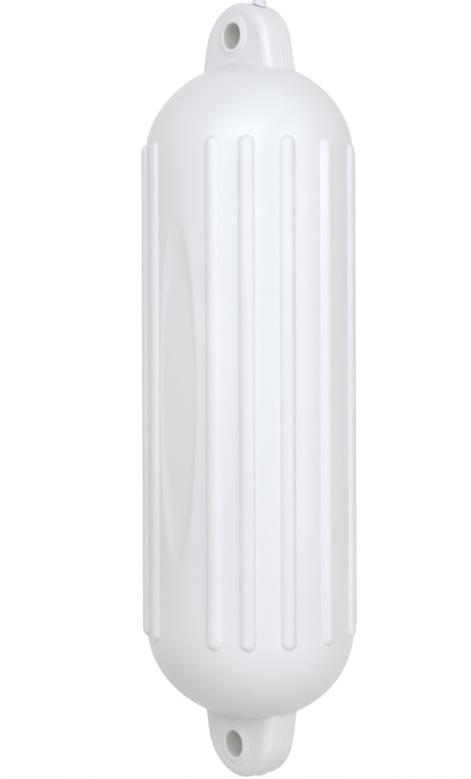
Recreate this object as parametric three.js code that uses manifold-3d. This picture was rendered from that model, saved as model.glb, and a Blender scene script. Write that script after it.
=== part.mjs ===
// Inflatable boat fender with a ribbed barrel and a rope eye at each end.
// Millimetres, +Z up along the barrel. The origin is the middle of the barrel's axis.
// The eyes' rope holes run along Y, and the label recess faces nearly along -Y.

import * as THREE from 'three';
import { mergeVertices } from 'three/addons/utils/BufferGeometryUtils.js';
import Module from 'manifold-3d';

const wasm = await Module();
wasm.setup();

// Barrel and domed ends
const ribCrestDiameter = 165.1;
const barrelLength = 361;
const domeHeight = 69;
const domeOval = 0.08;

// Ribs along the barrel, mirrored about the middle of the label side
const ribHeight = 3.6;
const ribWidth = 11.4;
const ribFlankWidth = 4.4;
const ribLength = 371.4;
const ribAngles = [21.5, 39.6, 61.5, 86.7, 113.2, 139.9, 166.6];
const ribTurn = 8.8;

// Label recess: a long oval with a flat floor and gently sloping walls
const labelFloorLength = 192;
const labelFloorWidth = 34.4;
const labelDepth = 3;
const labelSideSlope = 24;
const labelEndSlope = 5.2;
const labelTurn = 6.6;

// Rope eyes: a flat lug with tapered sides and a round tip at each end, a little off the axis
const overallLength = 588.4;
const eyeThickness = 29.8;
const eyeTipRadius = 37.7;
const eyeTaper = 11.3;
const eyeEdgeRadius = 7.1;
const eyeRootDepth = 25;
const eyeOffset = -0.8;

// Rope hole through each eye, with a rounded lip and a low collar on both faces
const ropeHoleDiameter = 19.6;
const ropeHoleSetback = 25.9;
const ropeHoleLipRadius = 1.5;
const collarDiameter = 32.4;
const collarCrestWidth = 1.8;
const collarHeight = 2;

// Inflation valve in a socket beside the tip of the upper eye, its rim cut to the eye's tip
const valveOffset = 12.2;
const valveStemDiameter = 6.4;
const valveStemLength = 8;
const valveRimDiameter = 11.4;
const valveRimHeight = 1.4;
const valveSkirtHeight = 2.8;
const valveNozzleDiameter = 8.7;
const valveNozzleHeight = 4.9;
const valveTopRadius = 0.8;
const valveNeedleDiameter = 1.8;
const valveNeedleDepth = 6;
const seatClearance = 0.3;

// Trimmed moulding stub beside the tip of the lower eye
const stubDiameter = 7.4;
const stubHeight = 0.2;

// Facets
const barrelFacets = 64;
const domeFacets = 9;
const ribEndFacets = 4;
const ribFlankFacets = 3;
const labelFacets = 36;
const eyeTipFacets = 14;
const eyeEdgeFacets = 3;
const holeFacets = 32;
const lipFacets = 2;
const valveFacets = 24;

// Sizes that follow from the ones above
const barrelRadius = ribCrestDiameter / 2 - ribHeight;
const eyeTipHeight = overallLength / 2;
const eyeArchHeight = eyeTipHeight - eyeTipRadius;
const ropeHoleHeight = eyeTipHeight - ropeHoleSetback;
const eyeFace = eyeThickness / 2;
const ropeHoleRadius = ropeHoleDiameter / 2;
const collarFace = eyeFace + collarHeight;

const radians = THREE.MathUtils.degToRad;

const softVinyl = new THREE.MeshStandardMaterial({
  name: 'white_vinyl',
  color: 0xeceef2,
  roughness: 0.35,
  metalness: 0,
});
const valvePlastic = new THREE.MeshStandardMaterial({
  name: 'valve_plastic',
  color: 0xe4e8ee,
  roughness: 0.45,
  metalness: 0,
});

// A closed geometry as a solid that can be joined and cut.
function toSolid(geometry) {
  const bare = geometry.clone();
  for (const name of Object.keys(bare.attributes)) {
    if (name !== 'position') {
      bare.deleteAttribute(name);
    }
  }
  const merged = mergeVertices(bare, 1e-4);
  const mesh = new wasm.Mesh({
    numProp: 3,
    vertProperties: new Float32Array(merged.attributes.position.array),
    triVerts: new Uint32Array(merged.index.array),
  });
  mesh.merge();
  return new wasm.Manifold(mesh);
}

function toGeometry(solid) {
  const mesh = solid.getMesh();
  const geometry = new THREE.BufferGeometry();
  geometry.setAttribute('position', new THREE.BufferAttribute(new Float32Array(mesh.vertProperties), 3));
  geometry.setIndex(new THREE.BufferAttribute(new Uint32Array(mesh.triVerts), 1));
  geometry.computeVertexNormals();
  return geometry;
}

// Points on an ellipse about (x, y), from the angle `from` to the angle `to` in degrees.
function ellipseArc(x, y, radiusX, radiusY, from, to, facets) {
  const clockwise = to < from;
  const arc = new THREE.EllipseCurve(x, y, radiusX, radiusY, radians(from), radians(to), clockwise);
  return arc.getPoints(facets);
}

// Makes each dome a little oval towards its top: wider along X, where the eye is wide.
function shapeDomes(geometry) {
  const positions = geometry.attributes.position;
  for (let i = 0; i < positions.count; i += 1) {
    const climb = Math.max(0, Math.abs(positions.getZ(i)) - barrelLength / 2) / domeHeight;
    positions.setX(i, positions.getX(i) * (1 + domeOval * climb));
    positions.setY(i, positions.getY(i) * (1 - domeOval * climb));
  }
}

// Barrel with a half-ellipse dome on each end, turned about Z.
function barrelSolid() {
  const shoulder = barrelLength / 2;
  const lower = ellipseArc(0, -shoulder, barrelRadius, domeHeight, -90, 0, domeFacets);
  const upper = ellipseArc(0, shoulder, barrelRadius, domeHeight, 0, 90, domeFacets);
  const profile = [...lower, ...upper];
  profile[0].x = 0;
  profile[profile.length - 1].x = 0;
  const geometry = new THREE.LatheGeometry(profile, barrelFacets);
  geometry.rotateX(Math.PI / 2);
  shapeDomes(geometry);
  return toSolid(geometry);
}

// One rib: a bar with round ends and rounded flanks, standing on the barrel at `angle`.
function ribSolid(angle) {
  const endRadius = ribWidth / 2;
  const straight = ribLength / 2 - endRadius;
  const outline = new THREE.Shape();
  outline.absarc(0, straight, endRadius, 0, Math.PI, false);
  outline.absarc(0, -straight, endRadius, Math.PI, 2 * Math.PI, false);
  outline.closePath();
  const rooted = ribHeight;
  const geometry = new THREE.ExtrudeGeometry(outline, {
    depth: rooted,
    curveSegments: ribEndFacets,
    bevelEnabled: true,
    bevelThickness: ribHeight,
    bevelSize: ribFlankWidth,
    bevelOffset: -ribFlankWidth,
    bevelSegments: ribFlankFacets,
  });
  geometry.translate(0, 0, -rooted);
  geometry.rotateX(Math.PI / 2);
  geometry.translate(0, -barrelRadius, 0);
  geometry.rotateZ(radians(angle));
  return toSolid(geometry);
}

// The outline of an oval as separate points, all the way round.
function ovalOutline(halfWidth, halfLength) {
  const points = ellipseArc(0, 0, halfWidth, halfLength, 0, 360, labelFacets);
  points.pop();
  return points;
}

// A closed body between a lower and an upper outline with as many points.
function loftSolid(lower, lowerZ, upper, upperZ) {
  const count = lower.length;
  const corners = [];
  for (const point of lower) {
    corners.push(point.x, point.y, lowerZ);
  }
  for (const point of upper) {
    corners.push(point.x, point.y, upperZ);
  }
  const faces = [];
  for (let i = 0; i < count; i += 1) {
    const next = (i + 1) % count;
    faces.push(i, next, count + next, i, count + next, count + i);
    if (i > 0 && next > 0) {
      faces.push(0, next, i, count, count + i, count + next);
    }
  }
  const geometry = new THREE.BufferGeometry();
  geometry.setAttribute('position', new THREE.Float32BufferAttribute(corners, 3));
  geometry.setIndex(faces);
  return geometry;
}

// What the label recess takes out of the barrel: sloping walls round a flat floor.
function labelCutter() {
  const floorHalfLength = labelFloorLength / 2;
  const floorHalfWidth = labelFloorWidth / 2;
  const height = 2 * labelDepth;
  const sideRun = height / Math.tan(radians(labelSideSlope));
  const endRun = height / Math.tan(radians(labelEndSlope));
  const floor = ovalOutline(floorHalfWidth, floorHalfLength);
  const mouth = ovalOutline(floorHalfWidth + sideRun, floorHalfLength + endRun);
  const geometry = loftSolid(floor, 0, mouth, height);
  geometry.rotateX(Math.PI / 2);
  geometry.translate(0, labelDepth - barrelRadius, 0);
  geometry.rotateZ(radians(labelTurn));
  return toSolid(geometry);
}

// Half the eye's width at a height on its tapered sides.
function eyeHalfWidth(height) {
  const taper = radians(eyeTaper);
  return eyeTipRadius / Math.cos(taper) + (eyeArchHeight - height) * Math.tan(taper);
}

// One upright eye lug: tapered sides, a round tip and rounded edges, rooted in the dome.
// It can be grown on all sides, to cut a part that is to stand clear of it.
function eyeLug(growth = 0) {
  const root = barrelLength / 2 + domeHeight - eyeRootDepth;
  const rootHalfWidth = eyeHalfWidth(root) + growth;
  const tipRadius = eyeTipRadius + growth;
  const edgeRadius = eyeEdgeRadius + growth;
  const outline = new THREE.Shape();
  outline.moveTo(-rootHalfWidth, root);
  outline.lineTo(rootHalfWidth, root);
  outline.absarc(0, eyeArchHeight, tipRadius, radians(eyeTaper), radians(180 - eyeTaper), false);
  outline.closePath();
  const geometry = new THREE.ExtrudeGeometry(outline, {
    depth: eyeThickness - 2 * eyeEdgeRadius,
    curveSegments: eyeTipFacets,
    bevelEnabled: true,
    bevelThickness: edgeRadius,
    bevelSize: edgeRadius,
    bevelOffset: -edgeRadius,
    bevelSegments: eyeEdgeFacets,
  });
  geometry.translate(0, 0, eyeEdgeRadius - eyeFace);
  geometry.rotateX(Math.PI / 2);
  return toSolid(geometry).translate([eyeOffset, 0, 0]);
}

// The collar on both faces of an eye, turned about the rope hole.
function collarSolid() {
  const baseRadius = collarDiameter / 2;
  const crestRadius = ropeHoleRadius + collarCrestWidth;
  const flank = baseRadius - crestRadius;
  const back = ellipseArc(crestRadius, -eyeFace, flank, collarHeight, -90, 0, lipFacets);
  const front = ellipseArc(crestRadius, eyeFace, flank, collarHeight, 0, 90, lipFacets);
  const profile = [
    new THREE.Vector2(0, -collarFace),
    ...back,
    ...front,
    new THREE.Vector2(0, collarFace),
  ];
  const geometry = new THREE.LatheGeometry(profile, holeFacets);
  geometry.translate(eyeOffset, 0, ropeHoleHeight);
  return toSolid(geometry);
}

// What the rope hole takes out of an eye, with a rounded lip at both ends.
function ropeHoleCutter() {
  const lipRadius = ropeHoleRadius + ropeHoleLipRadius;
  const lipStart = collarFace - ropeHoleLipRadius;
  const beyond = collarFace + ropeHoleLipRadius;
  const back = ellipseArc(lipRadius, -lipStart, ropeHoleLipRadius, ropeHoleLipRadius, 270, 180, lipFacets);
  const front = ellipseArc(lipRadius, lipStart, ropeHoleLipRadius, ropeHoleLipRadius, 180, 90, lipFacets);
  const profile = [
    new THREE.Vector2(0, -beyond),
    new THREE.Vector2(lipRadius, -beyond),
    ...back,
    ...front,
    new THREE.Vector2(lipRadius, beyond),
    new THREE.Vector2(0, beyond),
  ];
  const geometry = new THREE.LatheGeometry(profile, holeFacets);
  geometry.translate(eyeOffset, 0, ropeHoleHeight);
  return toSolid(geometry);
}

// A plain round bar along Z between two heights, on the tip line of the eyes.
function uprightBar(radius, bottom, top) {
  const geometry = new THREE.CylinderGeometry(radius, radius, top - bottom, valveFacets);
  geometry.rotateX(Math.PI / 2);
  geometry.translate(valveOffset, 0, (top + bottom) / 2);
  return toSolid(geometry);
}

// Height of the eye's round tip where the valve and the moulding stub stand.
const tipAtValve = eyeArchHeight + Math.sqrt(eyeTipRadius ** 2 - (valveOffset - eyeOffset) ** 2);
const valveStemBottom = tipAtValve - valveStemLength;

function fenderShell() {
  let shell = barrelSolid();
  for (const angle of ribAngles) {
    shell = shell.add(ribSolid(ribTurn + angle));
    shell = shell.add(ribSolid(ribTurn - angle));
  }
  shell = shell.subtract(labelCutter());
  const eye = eyeLug().add(collarSolid());
  const hole = ropeHoleCutter();
  shell = shell.add(eye).add(eye.mirror([0, 0, 1]));
  shell = shell.subtract(hole).subtract(hole.mirror([0, 0, 1]));
  shell = shell.add(uprightBar(stubDiameter / 2, -(tipAtValve + stubHeight), -valveStemBottom));
  const socketRadius = valveStemDiameter / 2 + seatClearance;
  const socketFloor = valveStemBottom - seatClearance;
  shell = shell.subtract(uprightBar(socketRadius, socketFloor, eyeTipHeight));
  return toGeometry(shell);
}

// Valve plug: a stem, a rim that follows the eye's tip, a cone and a nozzle with a needle hole.
function inflationValve() {
  const rimRadius = valveRimDiameter / 2;
  const nozzleRadius = valveNozzleDiameter / 2;
  const rimTop = tipAtValve + valveRimHeight;
  const nozzleBase = rimTop + valveSkirtHeight;
  const top = nozzleBase + valveNozzleHeight;
  const nozzleEdge = ellipseArc(
    nozzleRadius - valveTopRadius,
    top - valveTopRadius,
    valveTopRadius,
    valveTopRadius,
    0,
    90,
    lipFacets,
  );
  const profile = [
    new THREE.Vector2(0, valveStemBottom),
    new THREE.Vector2(rimRadius, valveStemBottom),
    new THREE.Vector2(rimRadius, rimTop),
    new THREE.Vector2(nozzleRadius, nozzleBase),
    ...nozzleEdge,
    new THREE.Vector2(valveNeedleDiameter / 2, top),
    new THREE.Vector2(valveNeedleDiameter / 2, top - valveNeedleDepth),
    new THREE.Vector2(0, top - valveNeedleDepth),
  ];
  const geometry = new THREE.LatheGeometry(profile, valveFacets);
  geometry.rotateX(Math.PI / 2);
  geometry.translate(valveOffset, 0, 0);
  const cap = toSolid(geometry).subtract(eyeLug(seatClearance));
  return toGeometry(cap.add(uprightBar(valveStemDiameter / 2, valveStemBottom, rimTop)));
}

const fender = new THREE.Group();
fender.name = 'boat_fender';

const shellMesh = new THREE.Mesh(fenderShell(), softVinyl);
shellMesh.name = 'fender_shell';
fender.add(shellMesh);

const valveMesh = new THREE.Mesh(inflationValve(), valvePlastic);
valveMesh.name = 'inflation_valve';
fender.add(valveMesh);

export default fender;
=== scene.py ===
import itertools
import math

import bpy
import numpy as np
from mathutils import Matrix, Vector
from mathutils.geometry import delaunay_2d_cdt


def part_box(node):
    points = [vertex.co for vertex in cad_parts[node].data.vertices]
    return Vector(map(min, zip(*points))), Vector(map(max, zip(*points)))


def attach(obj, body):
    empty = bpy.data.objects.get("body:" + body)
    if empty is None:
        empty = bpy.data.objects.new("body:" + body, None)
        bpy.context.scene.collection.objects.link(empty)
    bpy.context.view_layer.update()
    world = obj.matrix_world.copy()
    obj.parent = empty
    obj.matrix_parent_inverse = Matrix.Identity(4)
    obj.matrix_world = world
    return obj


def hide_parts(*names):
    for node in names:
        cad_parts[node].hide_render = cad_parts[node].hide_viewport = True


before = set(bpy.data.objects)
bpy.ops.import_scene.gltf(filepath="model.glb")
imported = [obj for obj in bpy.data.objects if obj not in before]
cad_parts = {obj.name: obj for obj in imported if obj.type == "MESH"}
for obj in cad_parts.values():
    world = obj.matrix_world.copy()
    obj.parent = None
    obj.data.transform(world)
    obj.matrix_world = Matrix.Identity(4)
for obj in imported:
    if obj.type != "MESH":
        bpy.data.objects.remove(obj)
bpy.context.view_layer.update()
scene = bpy.context.scene

# Shape. Sizes are in millimetres, and angles in degrees from -Y about +Z.
MM_PER_M = 1000

# Barrel and domes. The two powers are the fullness of the upper and the lower dome.
OVER_RIBS = 165.1
SHOULDER = 180.5
DOME_H = 69.0
DOME_OVAL = 0.08
DOME_POWER = {True: 1.93, False: 2.03}
DOME_RADIUS_CLIMB = 0.9999
DOME_FIELD_CLIMB = 1.3

# Ribs: half a width, the section's curve and fullness, and the soft line along the foot
RIB_H = 3.6
RIB_HALF = 5.8
RIB_CURVE = 2.3
RIB_FULLNESS = 0.72
RIB_FOOT = 0.9
RIB_SINK = 2.5
RIB_LENGTH = 371.4
RIB_ANGLES = (21.5, 39.6, 61.5, 86.7, 113.2, 139.9, 166.6)
RIB_TURN = 8.8
FAR_BELOW = -9.0

# Label recess: half width and half length of its floor, and the slopes of sides and ends
LABEL_FLOOR = (17.2, 96.0)
LABEL_DEPTH = 3.0
LABEL_SLOPES = (24.0, 5.2)
LABEL_TURN = 6.6
LABEL_FLOOR_SOFT = 0.16
LABEL_EDGE_SOFT = 0.7
LABEL_WITHIN = (27, 178)
LABEL_ROUNDS = 3
WALL_RANGE = (-0.9, 3.0)
WALL_HALVINGS = 26

# Eyes, with the fine parting line round each
TIP_Z = 294.2
EYE_T = 29.8
EYE_X = -0.8
TIP_R = 37.7
TAPER = math.radians(11.3)
EDGE_R = 8.6
EDGE_OVER = 0.6
EDGE_SOFT = 0.5
PARTING_H = 0.16
PARTING_W = 0.5
PARTING_FALL = 0.03
DOME_FILLET = 1.0

# Rope holes and their collars, each with a small step outside its crest
HOLE_R = 9.8
HOLE_Z = TIP_Z - 25.9
HOLE_LIP = 1.1
COLLAR_R = 16.2
COLLAR_H = 2.0
COLLAR_CREST_R = 12.4
COLLAR_STEP_H = 0.8
COLLAR_STEP_W = 1.0
COLLAR_CURVE = 2.4
COLLAR_FULLNESS = 0.7
COLLAR_SINK = 1.5
COLLAR_PACE = 0.9
COLLAR_MARGIN = 2
COLLAR_FILLET = 0.5

# The valve's socket in the upper eye, and the trimmed stub on the lower one
VALVE_X = 12.2
STEM_R = 3.2
SOCKET_GAP = 0.3
SOCKET_DEPTH = 8.3
SOCKET_LIP = 0.3
STUB_R = 3.7
STUB_H = 0.45
STUB_SLANT = 0.3
STUB_EDGE = 0.6
STUB_FILLET = 0.35
DIP_DEPTH = 0.45
DIP_R = 4.7
DIP_W = 0.9
DIP_BELOW = 6
DIP_FADE = 2

BARREL_R = OVER_RIBS / 2 - RIB_H
ARCH_Z = TIP_Z - TIP_R
FACE_Y = EYE_T / 2
RIBS = sorted((RIB_TURN + side * a) % 360 for a in RIB_ANGLES for side in (1, -1))


def smooth_max(a, b, k):
    """The larger of two fields, with a soft corner about k wide."""
    h = np.maximum(k - np.abs(a - b), 0) / k
    return np.maximum(a, b) + h * h * k / 4


def smooth_min(a, b, k):
    return -smooth_max(-a, -b, k)


def turn_from(angle, other):
    """Signed difference of two angles."""
    return (angle - other + 180) % 360 - 180


def dome_climb(z, most=1):
    """How far up its dome a height is: 0 at the shoulder, 1 at the dome's own top."""
    return np.clip((np.abs(z) - SHOULDER) / DOME_H, 0, most)


def oval(climb):
    """A dome's width along the eye and across it, both 1 at the shoulder."""
    return 1 + DOME_OVAL * climb, 1 - DOME_OVAL * climb


# Barrel, ribs, label recess and domes as one radius for each angle and height
def rib_lift(angle, z):
    reach = np.maximum(np.abs(z) - (RIB_LENGTH / 2 - RIB_HALF), 0)
    lift = np.full(np.broadcast(angle, z).shape, FAR_BELOW)
    for rib in RIBS:
        across = np.radians(turn_from(angle, rib)) * BARREL_R
        away = np.hypot(across, reach)
        bead = RIB_H * np.maximum(1 - (away / RIB_HALF) ** RIB_CURVE, 0) ** RIB_FULLNESS
        bead -= np.maximum(away - RIB_HALF, 0) * RIB_SINK
        lift = np.maximum(lift, bead)
    return smooth_max(lift, np.zeros_like(lift), RIB_FOOT)


def label_wall(across, z):
    """How far the recess's wall has climbed at a point: 0 at the floor, 1 at twice the depth."""
    half_w, half_l = LABEL_FLOOR
    run_w = 2 * LABEL_DEPTH / math.tan(math.radians(LABEL_SLOPES[0]))
    run_l = 2 * LABEL_DEPTH / math.tan(math.radians(LABEL_SLOPES[1]))
    low, high = (np.full(across.shape, limit) for limit in WALL_RANGE)
    for _ in range(WALL_HALVINGS):
        t = (low + high) / 2
        outside = (across / (half_w + t * run_w)) ** 2 + (z / (half_l + t * run_l)) ** 2 > 1
        low = np.where(outside, t, low)
        high = np.where(outside, high, t)
    return (low + high) / 2


def shell_radius(angle, z):
    angle, z = np.broadcast_arrays(np.asarray(angle, float), np.asarray(z, float))
    climb = dome_climb(z, DOME_RADIUS_CLIMB)
    power = np.where(z > 0, DOME_POWER[True], DOME_POWER[False])
    radius = BARREL_R * (1 - climb ** power) ** (1 / power) + rib_lift(angle, z)
    off = turn_from(angle, LABEL_TURN)
    near = (np.abs(off) < LABEL_WITHIN[0]) & (np.abs(z) < LABEL_WITHIN[1])
    if near.any():
        d = np.radians(off[near])
        floor_r = BARREL_R - LABEL_DEPTH
        across = BARREL_R * np.sin(d)
        for _ in range(LABEL_ROUNDS):
            climbed = smooth_max(label_wall(across, z[near]), 0 * d, LABEL_FLOOR_SOFT)
            cut = (floor_r + 2 * LABEL_DEPTH * climbed) / np.cos(d)
            across = np.minimum(cut, BARREL_R) * np.sin(d)
        radius[near] = smooth_min(radius[near], cut, LABEL_EDGE_SOFT)
    return radius


def shell_point(angle, z):
    r = shell_radius(angle, z)
    a = np.radians(angle)
    wide, narrow = oval(dome_climb(z))
    return np.stack(
        np.broadcast_arrays(r * np.sin(a) * wide, -r * np.cos(a) * narrow, z), axis=-1
    )


def shell_normal(angle, z):
    turn, rise = 0.02, 0.03
    along = shell_point(angle + turn, z) - shell_point(angle - turn, z)
    up = shell_point(angle, z + rise) - shell_point(angle, z - rise)
    n = np.cross(along, up)
    return n / np.linalg.norm(n, axis=-1, keepdims=True)


# One end of the fender as a distance field: the dome, the eye and what is on it
def round_union(a, b, r):
    u = np.maximum(r - a, 0)
    v = np.maximum(r - b, 0)
    return np.maximum(np.minimum(a, b), r) - np.hypot(u, v)


def round_cut(a, b, r):
    """The part of a outside b, with a rounded edge."""
    u = np.maximum(r + a, 0)
    v = np.maximum(r - b, 0)
    return np.minimum(np.maximum(a, -b), -r) + np.hypot(u, v)


def dome_field(x, y, z, power):
    wide, narrow = oval(dome_climb(z, DOME_FIELD_CLIMB))
    rho = np.hypot(x / wide / BARREL_R, y / narrow / BARREL_R)
    pz = (z - SHOULDER) / DOME_H
    e = (rho ** power + pz ** power) ** (1 / power)
    slope = np.hypot((rho / e) ** (power - 1) / BARREL_R, (pz / e) ** (power - 1) / DOME_H)
    return (e - 1) / slope


def eye_field(x, y, z):
    """An eye: tapered sides, a round tip, rounded edges and the parting line."""
    sine, cosine = math.sin(TAPER), math.cos(TAPER)
    qx, qz = np.abs(x - EYE_X), z - ARCH_Z
    below = qx * sine - qz * cosine > 0
    side = np.where(below, qx * cosine + qz * sine, np.hypot(qx, qz)) - TIP_R
    ridge = PARTING_H * np.exp(-((y / PARTING_W) ** 2))
    parting = ridge - PARTING_H - PARTING_FALL * np.abs(y)
    u = side - EDGE_OVER + EDGE_R
    v = np.abs(y) - FACE_Y + EDGE_R
    corner = np.hypot(np.maximum(u, 0), np.maximum(v, 0))
    block = np.minimum(np.maximum(u, v), 0) + corner - EDGE_R
    return smooth_max(block, side - parting, EDGE_SOFT)


def tip_height(x):
    """Height of the eye's round tip."""
    return ARCH_Z + np.sqrt(TIP_R ** 2 - (x - EYE_X) ** 2)


def collar_field(x, y, z):
    rho = np.hypot(x - EYE_X, z - HOLE_Z)
    down = np.clip((rho - COLLAR_CREST_R) / (COLLAR_R - COLLAR_CREST_R), 0, 1)
    step = np.clip((rho - COLLAR_CREST_R) / COLLAR_STEP_W, 0, 1)
    mound = (COLLAR_H - COLLAR_STEP_H) * (1 - down ** COLLAR_CURVE) ** COLLAR_FULLNESS
    lift = mound + COLLAR_STEP_H * (1 - step * step * (3 - 2 * step))
    lift = lift - np.maximum(rho - COLLAR_R, 0) * COLLAR_SINK
    above = (np.abs(y) - FACE_Y - lift) * COLLAR_PACE
    return np.maximum(above, rho - COLLAR_R - COLLAR_MARGIN)


def end_field(x, y, z, upper):
    eye = round_union(eye_field(x, y, z), collar_field(x, y, z), COLLAR_FILLET)
    body = round_union(eye, dome_field(x, y, z, DOME_POWER[upper]), DOME_FILLET)
    hole = np.hypot(x - EYE_X, z - HOLE_Z) - HOLE_R
    body = round_cut(body, hole, HOLE_LIP)
    off = np.hypot(x - VALVE_X, y)
    tip = tip_height(VALVE_X)
    if upper:
        socket = np.maximum(off - STEM_R - SOCKET_GAP, tip - SOCKET_DEPTH - z)
        return round_cut(body, socket, SOCKET_LIP)
    top = z - tip - STUB_H + STUB_SLANT * (x - VALVE_X)
    stub = smooth_max(off - STUB_R, top, STUB_EDGE)
    ring = DIP_DEPTH * np.exp(-(((off - DIP_R) / DIP_W) ** 2))
    dip = ring * np.clip((z - tip + DIP_BELOW) / DIP_FADE, 0, 1)
    return round_union(body + dip, stub, STUB_FILLET)


def end_gradient(p, upper):
    reach = 0.02
    g = np.empty_like(p)
    for k in range(3):
        step = np.zeros(3)
        step[k] = reach
        ahead, behind = (end_field(*q.T, upper) for q in (p + step, p - step))
        g[:, k] = (ahead - behind) / (2 * reach)
    return g


def steps(marks, gaps):
    """Grid lines from marks[0] to marks[-1], with about gaps[i] between them in stretch i."""
    lines = [marks[0]]
    for i, gap in enumerate(gaps):
        n = max(1, round((marks[i + 1] - marks[i]) / gap))
        lines += list(np.linspace(marks[i], marks[i + 1], n + 1)[1:])
    return np.array(lines)


# A surface net: one point in each grid cell that the surface passes through
NET_GRID = (
    steps([-56, -30, -18, 18, 30, 56], [1.15, 1.2, 0.72, 1.2, 1.15]),
    steps([-56, -18, -13.2, -1.6, 1.6, 13.2, 18, 56], [1.5, 0.62, 1.3, 0.36, 1.3, 0.62, 1.5]),
    steps([222, 251, 286, 296], [1.1, 0.7, 0.6]),
)
SETTLE_ROUNDS = 3
SETTLE_LEAST_SLOPE = 0.3
SETTLE_MOST = 0.4


def net_cells(inside):
    shape = [n - 1 for n in inside.shape]
    some, every = np.zeros(shape, bool), np.ones(shape, bool)
    for corner in itertools.product((np.s_[:-1], np.s_[1:]), repeat=3):
        some |= inside[corner]
        every &= inside[corner]
    return some & ~every


def net_points(field, cells):
    """For each cell the middle of the places where the surface crosses its edges."""
    at = np.nonzero(cells)
    total, hits = np.zeros((len(at[0]), 3)), np.zeros(len(at[0]))
    for axis in range(3):
        first, second = [a for a in range(3) if a != axis]
        for p, q in itertools.product((0, 1), repeat=2):
            low = list(at)
            low[first] = low[first] + p
            low[second] = low[second] + q
            high = list(low)
            high[axis] = high[axis] + 1
            fa, fb = field[tuple(low)], field[tuple(high)]
            cross = (fa < 0) != (fb < 0)
            t = np.where(cross, fa / np.where(cross, fa - fb, 1), 0)
            point = np.stack([NET_GRID[a][low[a]] for a in range(3)], 1)
            point[:, axis] += t * (NET_GRID[axis][high[axis]] - NET_GRID[axis][low[axis]])
            total[cross] += point[cross]
            hits[cross] += 1
    return total / hits[:, None]


def net_quads(inside, number):
    """One quad round each grid edge that the surface crosses, in order seen from outside."""
    quads = []
    for axis in range(3):
        u, v = [a for a in range(3) if a != axis]
        low = [np.s_[1:-1]] * 3
        high = list(low)
        low[axis], high[axis] = np.s_[:-1], np.s_[1:]
        a, b = inside[tuple(low)], inside[tuple(high)]
        cell = np.argwhere(a != b)
        rising = a[tuple(cell.T)] != (axis == 1)
        ring = []
        for du, dv in ((0, 0), (1, 0), (1, 1), (0, 1)):
            at = cell.copy()
            at[:, u] += du
            at[:, v] += dv
            ring.append(number[tuple(at.T)])
        ring = np.stack(ring, 1)
        ring[~rising] = ring[~rising][:, ::-1]
        quads.append(ring)
    return np.concatenate(quads)


def surface_net(upper):
    """Points and quads on the zero level of end_field, near the axis only."""
    field = end_field(*np.meshgrid(*NET_GRID, indexing="ij"), upper)
    inside = field < 0
    cells = net_cells(inside)
    number = np.full(cells.shape, -1)
    number[cells] = np.arange(cells.sum())
    points = net_points(field, cells)
    for _ in range(SETTLE_ROUNDS):
        value = end_field(*points.T, upper)
        g = end_gradient(points, upper)
        squared = np.maximum((g ** 2).sum(1, keepdims=True), SETTLE_LEAST_SLOPE)
        points += np.clip(-value[:, None] * g / squared, -SETTLE_MOST, SETTLE_MOST)
    return points, net_quads(inside, number)


# The mesh: columns of points along the barrel, rings up each dome and a patch for each eye
verts, norms, faces = [], [], []

RING_Z = 191.5
RING_START = 0.03
RING_ROWS = 17
RING_COUNT = 160
PATCH_R = 51.0
PATCH_GAP = 1.1
SAME_POINT = 1e-6

RIB_SIDE = np.array([0.85, 1.7, 2.5, 3.2, 3.8, 4.4, 4.9, 5.3, 5.6, 5.85, 6.15, 6.6])
RIB_END_ROWS = steps([172, 178.5, 187.6, RING_Z], [2.2, 0.62, 1.3])
PLAIN_ROWS = steps([0, 172], [34])[1:-1]
PLAIN_END_ROWS = steps([172, 180.5, RING_Z], [4, 2.8])
LABEL_ROWS = steps([0, 70, 150, 172], [3.2, 2.2, 5])[1:-1]
PLAIN_GAP = 3.6
LABEL_GAP = 1.25
LABEL_NEAR = 3


def add(points, normals):
    """Adds points to the mesh and returns their numbers."""
    start = sum(len(v) for v in verts)
    verts.append(points)
    norms.append(normals)
    return np.arange(start, start + len(points))


def zip_lines(a, b, key_a, key_b):
    """Triangles between two lines of points, each in the order of its rising key."""
    i = j = 0
    while i < len(a) - 1 or j < len(b) - 1:
        if j == len(b) - 1 or (i < len(a) - 1 and key_a[i + 1] <= key_b[j + 1]):
            faces.append((a[i], b[j], a[i + 1]))
            i += 1
        else:
            faces.append((a[i], b[j], b[j + 1]))
            j += 1


def mirrored(line):
    return np.concatenate([-line[::-1], [0.0], line])


ROWS = {
    "rib": mirrored(np.concatenate([PLAIN_ROWS, RIB_END_ROWS])),
    "label": mirrored(np.concatenate([LABEL_ROWS, PLAIN_END_ROWS])),
    "plain": mirrored(np.concatenate([PLAIN_ROWS, PLAIN_END_ROWS])),
}


def column_places():
    """The angle and kind of each column, from rib to rib."""
    places = []
    rib_edge = math.degrees(RIB_SIDE[-1] / BARREL_R)
    for rib, following in zip(RIBS, RIBS[1:] + [RIBS[0] + 360]):
        places += [(rib + math.degrees(s / BARREL_R), "rib") for s in mirrored(RIB_SIDE)]
        first, last = rib + rib_edge, following - rib_edge
        is_label = abs(turn_from((rib + following) / 2, RIB_TURN)) < LABEL_NEAR
        kind, gap = ("label", LABEL_GAP) if is_label else ("plain", PLAIN_GAP)
        count = max(2, round(math.radians(last - first) * BARREL_R / gap))
        places += [(angle, kind) for angle in np.linspace(first, last, count + 1)[1:-1]]
    return sorted(places)


columns = []
for angle, kind in column_places():
    z = ROWS[kind]
    columns.append((add(shell_point(angle, z), shell_normal(angle, z)), z, angle))
for (ids, z, _), (next_ids, next_z, _) in zip(columns, columns[1:] + columns[:1]):
    zip_lines(ids, next_ids, z, next_z)

angles = np.array([angle for _, _, angle in columns])
ring_angles = np.linspace(0, 360, RING_COUNT, endpoint=False) + angles[0]


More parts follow.
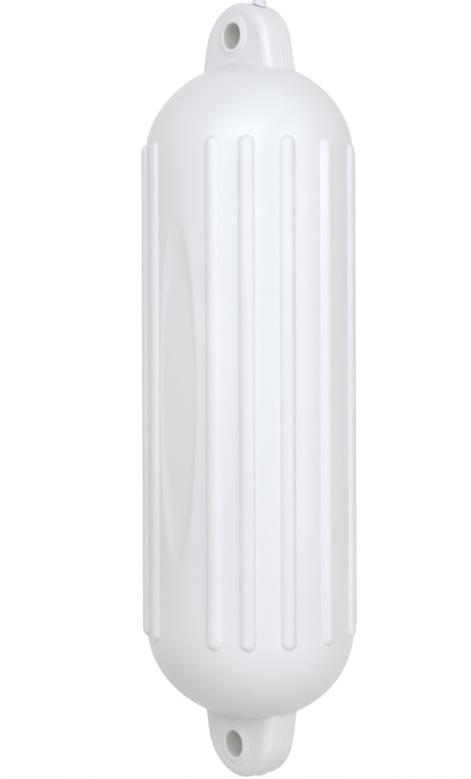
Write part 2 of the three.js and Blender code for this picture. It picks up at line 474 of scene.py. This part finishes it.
def add_rings(sign):
    """Rings of triangles from the columns' ends up the dome. Returns the last ring's points."""
    end = -1 if sign > 0 else 0
    ids = [column[0][end] for column in columns]
    below, keys = np.array(ids + ids[:1]), np.append(angles, angles[0] + 360)
    ring_keys = np.append(ring_angles, ring_angles[0] + 360)
    power = DOME_POWER[sign > 0]
    start = math.asin((RING_Z - SHOULDER) / DOME_H) + RING_START
    rim = math.asin((1 - (PATCH_R / BARREL_R) ** power) ** (1 / power))
    for height in SHOULDER + DOME_H * np.sin(np.linspace(start, rim, RING_ROWS)):
        z = np.full(RING_COUNT, sign * height)
        above = add(shell_point(ring_angles, z), shell_normal(ring_angles, z))
        above = np.append(above, above[0])
        if sign > 0:
            zip_lines(above, below, ring_keys, keys)
        else:
            zip_lines(below, above, keys, ring_keys)
        below, keys = above, ring_keys
    return below[:-1]


def longest_border(quads):
    """The longest closed line of edges that only one quad has."""
    edges = dict.fromkeys((q[k], q[(k + 1) % 4]) for q in quads.tolist() for k in range(4))
    onward = {a: b for a, b in edges if (b, a) not in edges}
    loops = []
    while onward:
        loop, at = [], next(iter(onward))
        while at in onward:
            loop.append(at)
            at = onward.pop(at)
        loops.append(loop)
    return max(loops, key=len)


def add_patch(sign):
    """The eye and the dome round it. Returns the points on the patch's stepped edge."""
    points, quads = surface_net(sign > 0)
    wide, narrow = oval(dome_climb(points[:, 2]))
    rho = np.hypot(points[:, 0] / wide, points[:, 1] / narrow)
    quads = quads[(rho < PATCH_R - PATCH_GAP)[quads].all(1)]
    loop = longest_border(quads)
    used = np.unique(quads)
    placed = points[used]
    normals = end_gradient(placed, sign > 0)
    normals /= np.linalg.norm(normals, axis=1, keepdims=True)
    if sign < 0:
        placed[:, 2] *= -1
        normals[:, 2] *= -1
        quads = quads[:, ::-1]
    renumber = np.full(len(points), -1)
    renumber[used] = add(placed, normals)
    faces.extend(tuple(q) for q in renumber[quads])
    return renumber[loop]


def fill_between(ring, loop, sign):
    """Triangles between the last ring and the patch's edge, found in the view along the axis."""
    both = np.concatenate([ring, loop])
    flat = np.concatenate(verts)[both, :2]
    lines = []
    for start, count in ((0, len(ring)), (len(ring), len(loop))):
        lines += [(start + i, start + (i + 1) % count) for i in range(count)]
    triangles = delaunay_2d_cdt([Vector(p) for p in flat], lines, [], 0, SAME_POINT)[2]
    edge = flat[len(ring):]
    onward = np.roll(edge, -1, axis=0)
    for triangle in triangles:
        # A triangle whose middle has an even number of the edge's lines beside it is outside
        x, y = flat[triangle].mean(axis=0)
        beside = (edge[:, 1] > y) != (onward[:, 1] > y)
        rise = np.where(beside, onward[:, 1] - edge[:, 1], 1)
        crossing = edge[:, 0] + (y - edge[:, 1]) * (onward[:, 0] - edge[:, 0]) / rise
        if (beside & (crossing > x)).sum() % 2 == 0:
            faces.append(tuple(both[triangle][::sign]))


for sign in (1, -1):
    last_ring = add_rings(sign)
    fill_between(last_ring, add_patch(sign), sign)


def mesh_piece(name, points, polygons, normals=None):
    """A piece from points in metres."""
    mesh = bpy.data.meshes.new(name)
    polygons = [tuple(int(i) for i in polygon) for polygon in polygons]
    mesh.from_pydata([tuple(p) for p in points], [], polygons)
    mesh.validate()
    mesh.update()
    mesh.shade_smooth()
    if normals is not None:
        mesh.normals_split_custom_set_from_vertices([tuple(n) for n in normals])
    piece = bpy.data.objects.new(name, mesh)
    scene.collection.objects.link(piece)
    return piece


shell = mesh_piece("fender_body", np.concatenate(verts) / MM_PER_M, faces, np.concatenate(norms))


# The valve: turned about its own axis, with a rim that follows the eye's tip
def arc(x, z, r, start, end, n=5):
    return [
        (x + r * math.cos(math.radians(a)), z + r * math.sin(math.radians(a)))
        for a in np.linspace(start, end, n)
    ]


def turned_piece(name, profile, at_x, segments=72):
    """A turned body. A third number in its profile is the least height above the eye's tip."""
    points, polygons = [], []
    for r, z, *lift in profile:
        for k in range(segments):
            a = 2 * math.pi * k / segments
            x = at_x + r * math.sin(a)
            height = max(z, tip_height(x) + lift[0]) if lift else z
            points.append((x / MM_PER_M, -r * math.cos(a) / MM_PER_M, height / MM_PER_M))
    last = (len(profile) - 1) * segments
    for low in range(0, last, segments):
        high = low + segments
        for k in range(segments):
            k2 = (k + 1) % segments
            polygons.append((low + k, low + k2, high + k2, high + k))
    polygons.append(tuple(range(segments))[::-1])
    polygons.append(tuple(range(last, last + segments)))
    return mesh_piece(name, points, polygons)


RIM_TOP = tip_height(VALVE_X) + 1.4
RIM_DROP = 0.2
RIM_LEAST = 1.0
NOZZLE_EDGE = 0.8
valve_low, valve_high = (corner[2] * MM_PER_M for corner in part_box("inflation_valve"))
stem = [(2.8, valve_low), (STEM_R, valve_low + 0.4), (STEM_R, 0, SOCKET_GAP)]
rim = [(5.3, 0, SOCKET_GAP), (5.58, 0, 0.42), (5.7, 0, 0.7)]
rim += [
    (r, z, RIM_LEAST + z - RIM_TOP + RIM_DROP)
    for r, z in arc(5.45, RIM_TOP - RIM_DROP, 0.25, 0, 50, 3)
]
cone = [(5.1, RIM_TOP + 0.75, 1.6), (4.6, RIM_TOP + 1.9, 2.2)]
cone += [(4.38, RIM_TOP + 2.7), (4.35, RIM_TOP + 3.1)]
nozzle = arc(3.55, valve_high - NOZZLE_EDGE, NOZZLE_EDGE, 0, 90)
needle_hole = [(1.15, valve_high), (0.9, valve_high - 0.25), (0.9, valve_high - 6)]
valve = turned_piece("valve_plug", stem + rim + cone + nozzle + needle_hole, VALVE_X)


# Materials. Colours are linear, and lengths are in metres from here on.
def feed(tree, socket, value):
    """Gives a socket a constant, or links another node's output to it."""
    if isinstance(value, bpy.types.NodeSocket):
        tree.links.new(value, socket)
    elif socket.type == "RGBA":
        socket.default_value = (*value, 1)
    else:
        socket.default_value = value


def node(tree, kind, **values):
    """A new node. A value is for the input of that name, or else for the setting."""
    made = tree.nodes.new(kind)
    for key, value in values.items():
        if key in made.inputs:
            feed(tree, made.inputs[key], value)
        else:
            setattr(made, key, value)
    return made


def nodes_for(name, roughness):
    material = bpy.data.materials.new(name)
    material.use_nodes = True
    tree = material.node_tree
    shader = tree.nodes["Principled BSDF"]
    shader.inputs["Roughness"].default_value = roughness
    return material, tree, shader


def noise(tree, where, scale, detail, rough, squash=(1, 1, 1)):
    mapping = node(tree, "ShaderNodeMapping", Vector=where, Scale=squash)
    texture = node(
        tree, "ShaderNodeTexNoise",
        Vector=mapping.outputs["Vector"], Scale=scale, Detail=detail, Roughness=rough,
    )
    return texture.outputs["Fac"]


def remap(tree, value, low, high, to_low, to_high):
    limits = {"From Min": low, "From Max": high, "To Min": to_low, "To Max": to_high}
    return node(tree, "ShaderNodeMapRange", Value=value, **limits).outputs["Result"]


def mix_colour(tree, factor, a, b):
    made = node(tree, "ShaderNodeMix", data_type="RGBA", Factor=factor)
    for socket, value in zip([s for s in made.inputs if s.type == "RGBA"], (a, b)):
        feed(tree, socket, value)
    return next(s for s in made.outputs if s.type == "RGBA")


def bump(tree, height, strength, distance, **after):
    made = node(
        tree, "ShaderNodeBump", Height=height, Strength=strength, Distance=distance, **after
    )
    return made.outputs["Normal"]


def calculation(tree, operation, *values):
    made = node(tree, "ShaderNodeMath", operation=operation)
    for socket, value in zip(made.inputs, values):
        feed(tree, socket, value)
    return made.outputs[0]


VINYL_DARK, VINYL_LIGHT = (0.825, 0.84, 0.87), (0.855, 0.87, 0.90)
SCUFF_COLOUR = (0.70, 0.71, 0.73)
SPECK_COLOUR = (0.5, 0.5, 0.5)
# Painted shade colour for the inside of the rope holes
BORE_SHADE_COLOUR = (0.67, 0.65, 0.61)
PLUG_DARK, PLUG_LIGHT = (0.78, 0.81, 0.855), (0.82, 0.85, 0.895)

vinyl, tree, shader = nodes_for("white_vinyl", 0.34)
place = node(tree, "ShaderNodeTexCoord").outputs["Object"]
tone = remap(tree, noise(tree, place, 9, 4, 0.6), 0.35, 0.65, 0, 1)
colour = mix_colour(tree, tone, VINYL_DARK, VINYL_LIGHT)
scuffs = noise(tree, place, 26, 5, 0.65, (1.0, 1.0, 0.16))
colour = mix_colour(tree, remap(tree, scuffs, 0.64, 0.78, 0, 0.5), colour, SCUFF_COLOUR)
dots = node(tree, "ShaderNodeTexVoronoi", Vector=place, Scale=34, Randomness=1.0)
specks = remap(tree, dots.outputs["Distance"], 0.014, 0.009, 0, 0.3)
colour = mix_colour(tree, specks, colour, SPECK_COLOUR)

# Painted shade inside the rope holes, darker further in from the faces
apart = node(tree, "ShaderNodeSeparateXYZ", Vector=place)
from_axis = calculation(tree, "SUBTRACT", apart.outputs["X"], EYE_X / MM_PER_M)
either_end = calculation(tree, "ABSOLUTE", apart.outputs["Z"])
from_hole = calculation(tree, "SUBTRACT", either_end, HOLE_Z / MM_PER_M)
squares = [calculation(tree, "MULTIPLY", side, side) for side in (from_axis, from_hole)]
away = calculation(tree, "SQRT", calculation(tree, "ADD", *squares))
bore_outer, bore_inner = (HOLE_R + 0.5) / MM_PER_M, (HOLE_R + 0.05) / MM_PER_M
in_bore = remap(tree, away, bore_outer, bore_inner, 0, 1)
either_face = calculation(tree, "ABSOLUTE", apart.outputs["Y"])
from_face = remap(tree, either_face, 0.0165, 0.011, 0, 0.85)
# How much painted shade the bore gets
bore_shade = calculation(tree, "MULTIPLY", in_bore, from_face)
feed(tree, shader.inputs["Base Color"], mix_colour(tree, bore_shade, colour, BORE_SHADE_COLOUR))

sheen = remap(tree, noise(tree, place, 60, 3, 0.6), 0.3, 0.7, 0.30, 0.40)
feed(tree, shader.inputs["Roughness"], sheen)
swell = bump(tree, noise(tree, place, 24, 2, 0.5), 0.15, 0.004)
peel = bump(tree, noise(tree, place, 620, 2, 0.5), 0.10, 0.0004, Normal=swell)
feed(tree, shader.inputs["Normal"], peel)
shader.inputs["IOR"].default_value = 1.5
shell.data.materials.append(vinyl)

plug, tree, shader = nodes_for("valve_plastic", 0.42)
place = node(tree, "ShaderNodeTexCoord").outputs["Object"]
tone = remap(tree, noise(tree, place, 90, 3, 0.6), 0.35, 0.65, 0, 1)
feed(tree, shader.inputs["Base Color"], mix_colour(tree, tone, PLUG_DARK, PLUG_LIGHT))
grain = noise(tree, place, 900, 3, 0.6)
feed(tree, shader.inputs["Normal"], bump(tree, grain, 0.2, 0.0003))
feed(tree, shader.inputs["Roughness"], remap(tree, grain, 0.3, 0.7, 0.38, 0.48))
valve.data.materials.append(plug)

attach(shell, "root")
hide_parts("fender_shell")
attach(valve, "root")
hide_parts("inflation_valve")


# Floor and background
def background_rays(tree):
    """1 for the rays that show the white background: camera, glossy and transmission rays."""
    path = tree.nodes.new("ShaderNodeLightPath")
    last = path.outputs["Is Camera Ray"]
    for name in ("Is Glossy Ray", "Is Transmission Ray"):
        last = calculation(tree, "MAXIMUM", last, path.outputs[name])
    return last


def mixed_shader(tree, factor, a, b):
    made = tree.nodes.new("ShaderNodeMixShader")
    for socket, value in zip(made.inputs, (factor, a, b)):
        feed(tree, socket, value)
    return made.outputs[0]


WHITE = (1, 1, 1)
SOFT_LIGHT = (1.0, 0.93, 0.87)
SOFT_STRENGTH = 0.455
FLOOR_COLOUR = (0.75, 0.71, 0.68)
FLOOR_Z = -0.7
FLOOR_HALF = 7
FLOOR_NEAR, FLOOR_FAR = 0.5, 1.6
FLOOR_WHITE_NEAR = 0.55

corners = [(x * FLOOR_HALF, y * FLOOR_HALF, 0) for x, y in ((-1, -1), (1, -1), (1, 1), (-1, 1))]
mesh = bpy.data.meshes.new("floor")
mesh.from_pydata(corners, [], [(0, 1, 2, 3)])
floor = bpy.data.objects.new("floor", mesh)
floor.location.z = FLOOR_Z
scene.collection.objects.link(floor)
paint, tree, shader = nodes_for("floor_paint", 0.9)
feed(tree, shader.inputs["Base Color"], FLOOR_COLOUR)
glow = node(tree, "ShaderNodeEmission", Color=WHITE, Strength=1.0)
# White all the way to the horizon, and a plain pale floor with its shadow under the object
place = node(tree, "ShaderNodeTexCoord").outputs["Object"]
away = node(tree, "ShaderNodeVectorMath", operation="LENGTH", Vector=place).outputs["Value"]
share = remap(tree, away, FLOOR_NEAR, FLOOR_FAR, FLOOR_WHITE_NEAR, 1.0)
factor = calculation(tree, "MULTIPLY", share, background_rays(tree))
painted = mixed_shader(tree, factor, shader.outputs[0], glow.outputs[0])
feed(tree, tree.nodes["Material Output"].inputs["Surface"], painted)
floor.data.materials.append(paint)

world = bpy.data.worlds.new("studio")
world.use_nodes = True
scene.world = world
tree = world.node_tree
tree.nodes.clear()
soft = node(tree, "ShaderNodeBackground", Color=SOFT_LIGHT, Strength=SOFT_STRENGTH)
white = node(tree, "ShaderNodeBackground", Color=WHITE, Strength=1.0)
studio = mixed_shader(tree, background_rays(tree), soft.outputs[0], white.outputs[0])
node(tree, "ShaderNodeOutputWorld", Surface=studio)

# Lamps and camera. The camera's numbers come from a match of its view to the picture.
CAMERA_TURN = 50.0
CAMERA_ROLL = -0.2
CAMERA_DISTANCE = 1.296
CAMERA_HEIGHT = 0.047
FOCAL_PX = 1696
PICTURE_W, PICTURE_H = 471, 779
MIDDLE_X, MIDDLE_Y = 249.75, 389.3
SENSOR = 36
COOL = (0.87, 0.94, 1.0)


def direction(turn, climb):
    """From the object's middle, turned from the camera's side and raised."""
    a, e = math.radians(CAMERA_TURN + turn), math.radians(climb)
    return Vector((math.sin(a) * math.cos(e), -math.cos(a) * math.cos(e), math.sin(e)))


def softbox(name, turn, climb, distance, size, watts, tint=WHITE):
    lamp = bpy.data.lights.new(name, "AREA")
    lamp.shape = "RECTANGLE"
    lamp.size, lamp.size_y = size
    lamp.energy = watts
    lamp.color = tint
    piece = bpy.data.objects.new(name, lamp)
    away = direction(turn, climb)
    piece.location = away * distance
    piece.rotation_euler = away.to_track_quat("Z", "Y").to_euler()
    piece.visible_camera = False
    scene.collection.objects.link(piece)
    return piece


softbox("wide_key", -15, 25, 1.7, (1.95, 1.2), 16.2, COOL)
softbox("right_fill", 50, 5, 1.7, (0.9, 1.2), 7.5, COOL)
back_fill = softbox("back_fill", 180, 4, 2.2, (1.2, 1.6), 18.0)
back_fill.visible_glossy = False

camera_data = bpy.data.cameras.new("photo_camera")
camera_data.sensor_width = SENSOR
camera_data.lens = FOCAL_PX / PICTURE_H * SENSOR
drop = FOCAL_PX * CAMERA_HEIGHT / CAMERA_DISTANCE
camera_data.shift_x = -(MIDDLE_X - PICTURE_W / 2) / PICTURE_H
camera_data.shift_y = (MIDDLE_Y - drop - PICTURE_H / 2) / PICTURE_H
camera_data.clip_start = 0.05
camera_data.clip_end = 40
camera = bpy.data.objects.new("photo_camera", camera_data)
back = direction(0, 0)
up = Vector((0, 0, 1))
facing = Matrix((up.cross(back), up, back)).transposed().to_4x4()
stand = Matrix.Translation(back * CAMERA_DISTANCE + up * CAMERA_HEIGHT)
camera.matrix_world = stand @ facing @ Matrix.Rotation(math.radians(CAMERA_ROLL), 4, "Z")
scene.collection.objects.link(camera)
scene.camera = camera
scene.view_settings.view_transform = "Standard"
